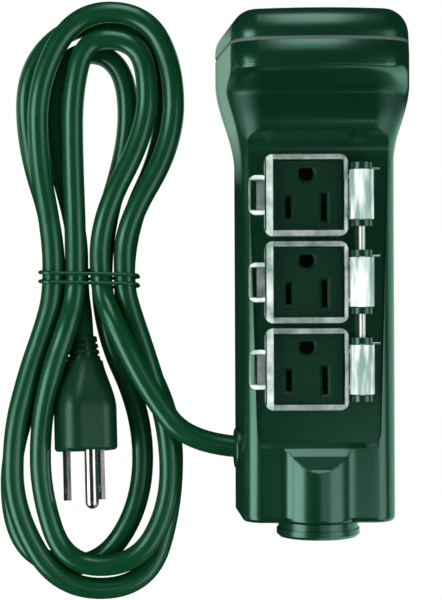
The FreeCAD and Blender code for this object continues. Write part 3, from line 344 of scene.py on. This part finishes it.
TEAL_SHINE = (0.52, 1.0, 0.86, 1)
DEEP_GREEN = screen(4, 46, 25)
MOULD_GRAIN = 0.012 * MM
UNPOLISHED = 0.26

# The ramp at the foot of the recess: its upper edge, its fall, and how much of it is lit
RAMP_HIGH = Vector((0, -60.4, 36.6)) * MM
RAMP_SLOPE = 0.6125
RAMP_LIT = 2.6 * MM
RAMP_LENGTH = 7.1 * MM
RAMP_HALF = 13.0 * MM
RAMP_BEND = -0.18

# The face below the head's seam, which rolls over towards it
SEAM_ROUND_Y = 73.0 * MM
SEAM_ROUND_Z = 48.0 * MM
SEAM_CURVE = 33
SEAM_BEND = -1.0

# The corners of the finger scoop: between two heights, beside the middle and above the floor
SCOOP_FOOT_Y = 48.0 * MM
SCOOP_HEAD_Y = 66.0 * MM
SCOOP_SIDE_X = 19.0 * MM
SCOOP_SIDE_Z = 34.0 * MM


def moulded(name, colour, rough=0.24, gloss=1.0, form=None, dull=None):
    """Injection-moulded plastic: a faint cloudiness in colour and shine over a fine moulding grain.

    form gives a bump under the grain, and dull a mask of where the mould is less polished.
    """
    finish = Finish(name)
    cloud = finish.noise(scale=35.0, detail=3.0)
    grain = finish.noise(scale=2600.0, detail=1.0)
    roughness = cloud.about(rough, 0.1)
    if dull:
        roughness = roughness + dull(finish) * UNPOLISHED
    return finish.surface(
        Base_Color=finish.clouded(cloud, colour, 0.2),
        Roughness=roughness,
        Normal=finish.bump(grain, MOULD_GRAIN, form(finish) if form else None),
        Specular_IOR_Level=gloss,
        Specular_Tint=TEAL_SHINE,
    )


def soft_edges(finish):
    """Rounds the ramp of the recess, so that its upper end alone is lit, and the face below the seam."""
    y = finish.axis("Y")
    plane = RAMP_HIGH.z - (y - RAMP_HIGH.y) * RAMP_SLOPE
    off_plane = (finish.axis("Z") - plane).size().past(0.1 * MM, soft=0.2 * MM)
    beside = finish.axis("X").size().past(RAMP_HALF, soft=1 * MM)
    down = (RAMP_HIGH.y - y).larger(0.0).smaller(RAMP_LENGTH)
    ridge = (down - RAMP_LIT).size() - RAMP_LIT
    ramp = finish.bump(ridge * (1 - off_plane.larger(beside)), RAMP_BEND)
    below_seam = (y - SEAM_ROUND_Y).larger(0.0)
    on_face = finish.axis("Z").past(SEAM_ROUND_Z, soft=3 * MM)
    return finish.bump(below_seam * below_seam * SEAM_CURVE * on_face, SEAM_BEND, ramp)


def scoop_corners(finish):
    """Where the mould of the finger scoop is less polished."""
    y = finish.axis("Y")
    along = y.past(SCOOP_FOOT_Y, soft=3 * MM) * (1 - y.past(SCOOP_HEAD_Y, soft=3 * MM))
    beside = finish.axis("X").size().past(SCOOP_SIDE_X, soft=4 * MM)
    return along * beside * finish.axis("Z").past(SCOOP_SIDE_Z, soft=2 * MM)


# Cord jackets and metal


def jacket(name, colour):
    """Extruded jacket: smooth, with faint flow marks."""
    finish = Finish(name)
    flow = finish.noise(scale=120.0, detail=3.0)
    return finish.surface(
        Base_Color=finish.clouded(flow, colour, 0.18),
        Roughness=flow.about(0.26, 0.1),
        Normal=finish.bump(finish.noise(scale=900.0, detail=2.0), 0.02 * MM),
        Specular_IOR_Level=0.8,
        Specular_Tint=TEAL_SHINE,
    )


def drawn_metal(name, colour, rough):
    """Bare or plated metal with fine draw lines along Y."""
    finish = Finish(name)
    lines = finish.noise(scale=900.0, detail=3.0, stretch=(1.0, 0.04, 1.0))
    return finish.surface(
        Base_Color=finish.mix(lines, shade(colour, 0.8), colour),
        Metallic=1.0,
        Roughness=lines * 0.12 + rough,
        Normal=finish.bump(lines, 0.01 * MM),
    )


# Clear covers: the lid's sides, the width of its rims and their painted highlights, its finger loop and
# its barrel

COVER_PLACES = ["top", "middle", "bottom"]
LID_LEFT = -19.0 * MM
LID_RIGHT = 10.3 * MM
RIM_WIDTH = {"left": 2.9 * MM, "right": 1.5 * MM, "head": 2.0 * MM, "foot": 1.9 * MM}
# How strongly each rim is painted light: painted highlights, lightest on the left and darker at the
# right, head and foot as the lamps fall
RIM_PAINTED_HIGHLIGHT = {"left": 0.88, "right": 0.75, "head": 0.55, "foot": 0.6}
SOFT_RIM = 0.25 * MM
EDGE_ROUND = 0.5 * MM
LOOP_END = 5.0 * MM
LOOP_EDGE = 0.7 * MM
# The loop's outer edge and its web are painted lighter, as painted highlights
LOOP_EDGE_PAINTED_HIGHLIGHT = 0.5
LOOP_WEB = 2.6 * MM
LOOP_WEB_PAINTED_HIGHLIGHT = 0.42
LEAF_REACH = 0.5 * MM
# The clear film's own tint, the dim and bright colours of the painted highlights, and the colour of the
# painted glow of their glints
CLEAR_FILM = (0.004, 0.012, 0.008)
CLEAR_PAINTED_HIGHLIGHT_DIM = (0.28, 0.45, 0.4)
CLEAR_PAINTED_HIGHLIGHT = (0.94, 1.0, 0.98)
CLEAR_PAINTED_GLINT_GLOW = (0.08, 0.09, 0.088)
BLACK = (0, 0, 0)
FILM_ALPHA = 0.06
SHINE_ALPHA = 0.7
TEXTURE_ALPHA = 0.22


def cover_painted_highlights(x, y, loop_x, half):
    """The mask of a cover's barrel, and that of its painted highlights: barrel, rims and finger loop.

    loop_x is the loop's outer edge, y is measured from the lid's middle, and half is half its length.
    """
    left = x.past(LID_LEFT + EDGE_ROUND, SOFT_RIM) - x.past(LID_LEFT + RIM_WIDTH["left"], SOFT_RIM)
    right = x.past(LID_RIGHT - RIM_WIDTH["right"], SOFT_RIM)
    head = y.past(half - RIM_WIDTH["head"], SOFT_RIM)
    foot = 1 - y.past(RIM_WIDTH["foot"] - half, SOFT_RIM)
    sides = (left * RIM_PAINTED_HIGHLIGHT["left"]).larger(right * RIM_PAINTED_HIGHLIGHT["right"])
    rims = sides.larger(head * RIM_PAINTED_HIGHLIGHT["head"]).larger(foot * RIM_PAINTED_HIGHLIGHT["foot"])
    loop_end = y.size().past(LOOP_END, soft=0.6 * MM)
    loop_edge = 1 - x.past(loop_x + LOOP_EDGE, SOFT_RIM)
    loop_web = x.past(loop_x + LOOP_WEB, soft=0.4 * MM)
    in_loop = loop_end.larger(loop_edge * LOOP_EDGE_PAINTED_HIGHLIGHT).larger(loop_web * LOOP_WEB_PAINTED_HIGHLIGHT)
    loop = 1 - x.past(LID_LEFT, SOFT_RIM)
    barrel = x.past(LID_RIGHT + LEAF_REACH, SOFT_RIM)
    return barrel, barrel.larger(rims * (1 - loop)).larger(in_loop * loop)


def clear_cover(place):
    """Clear moulding: the socket is seen through its top; its rims, loop and barrel are more opaque and
    carry painted highlights.
    """
    finish = Finish(f"clear_{place}")
    low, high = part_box(f"cover_{place}")
    y = finish.axis("Y") - (low.y + high.y) / 2
    barrel, shine = cover_painted_highlights(finish.axis("X"), y, low.x, (high.y - low.y) / 2)
    # Painted glints: streaks of painted reflection along the barrel, and spots elsewhere; the same
    # pattern also varies roughness and alpha
    painted_streaks = finish.noise(scale=420.0, detail=3.0, stretch=(1.0, 0.12, 1.0)).past(0.38, soft=0.25)
    painted_spots = finish.noise(scale=160.0, detail=2.0).past(0.3, soft=0.4)
    painted_glint_pattern = barrel * painted_streaks + (1 - barrel) * painted_spots
    # Painted highlights: the rims, loop and barrel are painted light over the clear film's own tint
    lit = finish.mix(painted_glint_pattern, CLEAR_PAINTED_HIGHLIGHT_DIM, CLEAR_PAINTED_HIGHLIGHT)
    return finish.surface(
        Base_Color=finish.mix(shine, CLEAR_FILM, lit),
        Roughness=painted_glint_pattern * 0.1 + 0.06,
        Alpha=shine * (painted_glint_pattern * TEXTURE_ALPHA + SHINE_ALPHA) + FILM_ALPHA,
        Specular_IOR_Level=0.5,
        # A faint painted glow of the glints, though the cover is no lamp
        Emission_Color=finish.mix(shine * painted_glint_pattern, BLACK, CLEAR_PAINTED_GLINT_GLOW),
        Emission_Strength=1.0,
    )


# Which pieces take which finish

spring_steel = drawn_metal("spring_steel", (0.75, 0.76, 0.76), rough=0.3)
cord.data.materials.append(jacket("cord_green", screen(5, 60, 30)))

FINISHES = {
    moulded("housing_green", DEEP_GREEN, form=soft_edges, dull=scoop_corners): [
        "front_housing",
        "back_cover",
    ],
    moulded("cap_green", DEEP_GREEN, rough=0.27): ["head_cap", "spike_collar"],
    moulded("socket_green", screen(5, 46, 26), rough=0.4, gloss=0.6): [
        "socket_face_top",
        "socket_face_middle",
        "socket_face_bottom",
    ],
    moulded("grommet_green", DEEP_GREEN, rough=0.3): ["cord_grommet", "plug_strain_relief"],
    moulded("plug_green", screen(4, 48, 26), rough=0.36, gloss=0.7): ["plug_body"],
    moulded("seal_grey", screen(88, 98, 98), rough=0.5, gloss=0.6): ["cap_seal", "housing_seal"],
    moulded("carrier_grey", screen(110, 110, 108), rough=0.5, gloss=0.5): [
        "contact_carrier",
        "cord_clamp",
    ],
    jacket("tie_green", screen(6, 60, 32)): ["hank_tie"],
    jacket("core_black", screen(20, 20, 20)): ["wire_line"],
    jacket("core_white", screen(225, 225, 220)): ["wire_neutral"],
    jacket("core_green", screen(30, 140, 60)): ["wire_ground"],
    drawn_metal("steel", (0.9, 0.88, 0.85), rough=0.4): [
        "hinge_rod",
        "cover_screws",
        "cap_screws",
        "carrier_screws",
        "clamp_screws",
    ],
    spring_steel: ["spring_top", "spring_middle", "spring_bottom"],
    drawn_metal("pin_nickel", (0.72, 0.7, 0.68), rough=0.14): [
        "plug_line_blade",
        "plug_neutral_blade",
        "plug_ground_pin",
    ],
    # Brass, darkened far below its own colour as painted shade for the contacts deep in their slots
    drawn_metal("contact_brass", (0.1, 0.07, 0.03), rough=0.45): [
        "line_bus",
        "neutral_bus",
        "ground_bus",
    ],
}
for place in COVER_PLACES:
    FINISHES[clear_cover(place)] = [f"cover_{place}"]

for material, names in FINISHES.items():
    for name in names:
        nodes[name].data.materials.clear()
        nodes[name].data.materials.append(material)

# The leg of each spring, which rests beside its barrel, level with the hinge rod

LEG_START_X = 18.5 * MM
LEG_ABOVE_MIDDLE = 9.05 * MM
LEG_LENGTH = 2.7 * MM
LEG_RADIUS = 0.4 * MM


def spring_leg(place):
    leg_middle = Vector(
        (
            LEG_START_X + LEG_LENGTH / 2,
            middle(f"cover_{place}").y + LEG_ABOVE_MIDDLE,
            middle("hinge_rod").z,
        )
    )
    mesh = bmesh.new()
    bmesh.ops.create_cone(
        mesh,
        cap_ends=True,
        segments=16,
        radius1=LEG_RADIUS,
        radius2=LEG_RADIUS,
        depth=LEG_LENGTH,
        matrix=Matrix.Translation(leg_middle) @ Matrix.Rotation(math.pi / 2, 4, "Y"),
    )
    piece = add_mesh(f"spring_leg_{place}", mesh)
    piece.data.materials.append(spring_steel)
    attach(piece, "housing")


for place in COVER_PLACES:
    spring_leg(place)

# Floor: white to the camera; to shiny surfaces alone it glows as a painted reflection: dark, with
# a mint patch beside the head and a bright one beside the right wall

MIRRORED_DARK = (0.01, 0.03, 0.02)
MIRRORED_MINT = (0.5, 0.82, 0.64)
MIRRORED_BRIGHT = (0.8, 1.3, 1.05)
MINT_FROM_Y = 0.034
MINT_TO_Y = 0.09
BRIGHT_TO_Y = 0.045
WHITE = (1, 1, 1)
PALE_GREY = (0.85, 0.85, 0.85, 1)
FLOOR_HALF = 1.0
FLOOR_GAP = 0.1 * MM


def floor():
    mesh = bmesh.new()
    bmesh.ops.create_grid(mesh, x_segments=1, y_segments=1, size=FLOOR_HALF)
    piece = add_mesh("floor", mesh)
    piece.location.z = min(0.0, cad_box[0].z) - FLOOR_GAP
    finish = Finish("floor")
    y = finish.axis("Y")
    right_side = finish.axis("X").past(0.0, soft=0.01)
    # Painted reflection patches: where the floor glows in shiny surfaces, though it is no lamp
    mint = y.past(MINT_FROM_Y, soft=0.02) * (1 - y.past(MINT_TO_Y, soft=0.01)) * (1 - right_side)
    bright = right_side * (1 - y.past(BRIGHT_TO_Y, soft=0.02))
    mirrored = finish.mix(bright, finish.mix(mint, MIRRORED_DARK, MIRRORED_MINT), MIRRORED_BRIGHT)
    seen = finish.mix(finish.ray("Camera"), mirrored, WHITE)
    pale = finish.node("ShaderNodeBsdfDiffuse", inputs={"Color": PALE_GREY})
    glow = finish.node("ShaderNodeEmission", inputs={"Color": seen, "Strength": 1.0})
    glow_share = finish.ray("Camera").larger(finish.ray("Glossy"))
    finish.output(finish.node("ShaderNodeMixShader", inputs={0: glow_share, 1: pale, 2: glow}))
    piece.data.materials.append(finish.material)


# World: white to the camera, a soft fill for surfaces, and dark in their shine

SKY_FILL = (0.5, 0.52, 0.51)
SKY_IN_SHINE = (0.006, 0.012, 0.009)


def surroundings():
    world = bpy.data.worlds.new("surroundings")
    bpy.context.scene.world = world
    finish = Finish("surroundings", world)
    on_surfaces = finish.mix(finish.ray("Glossy"), SKY_FILL, SKY_IN_SHINE)
    colour = finish.mix(finish.ray("Camera"), on_surfaces, WHITE)
    sky = finish.node("ShaderNodeBackground", inputs={"Color": colour})
    finish.output(sky, "ShaderNodeOutputWorld")


# Lamps on both sides, above and beyond the head: the place of each, the point that it faces, its
# level width and its length, and its power in watts
LAMPS = {
    "left": ((-0.67, -0.42, 0.43), (0, -0.42, 0.03), (0.86, 0.5), 5.4),
    "left_head": ((-0.57, 0.16, 0.46), (-0.02, 0.07, 0.05), (0.14, 0.42), 1.1),
    "right": ((0.5, -0.3, 0.46), (0, -0.3, 0.02), (1.0, 0.46), 2.8),
    "above_foot": ((0.17, -0.158, 0.62), (0.17, -0.158, 0), (0.24, 0.03), 0.08),
    "above_head": ((-0.02, 0.55, 0.55), (-0.01, 0.08, 0.05), (0.3, 0.16), 0.2),
    "head": ((0, 0.72, 0.3), (-0.02, 0.05, 0.03), (0.3, 0.5), 1.5),
}


def softbox(name, place, target, size, power):
    """A rectangular lamp that faces a point."""
    lamp = add_object(name, bpy.data.lights.new(name, "AREA"))
    lamp.data.shape = "RECTANGLE"
    lamp.data.size, lamp.data.size_y = size
    lamp.data.energy = power
    lamp.location = place
    lamp.rotation_euler = (Vector(target) - lamp.location).to_track_quat("-Z", "Y").to_euler()


floor()
surroundings()
for name, values in LAMPS.items():
    softbox(name, *values)
bpy.context.scene.view_settings.view_transform = "Standard"
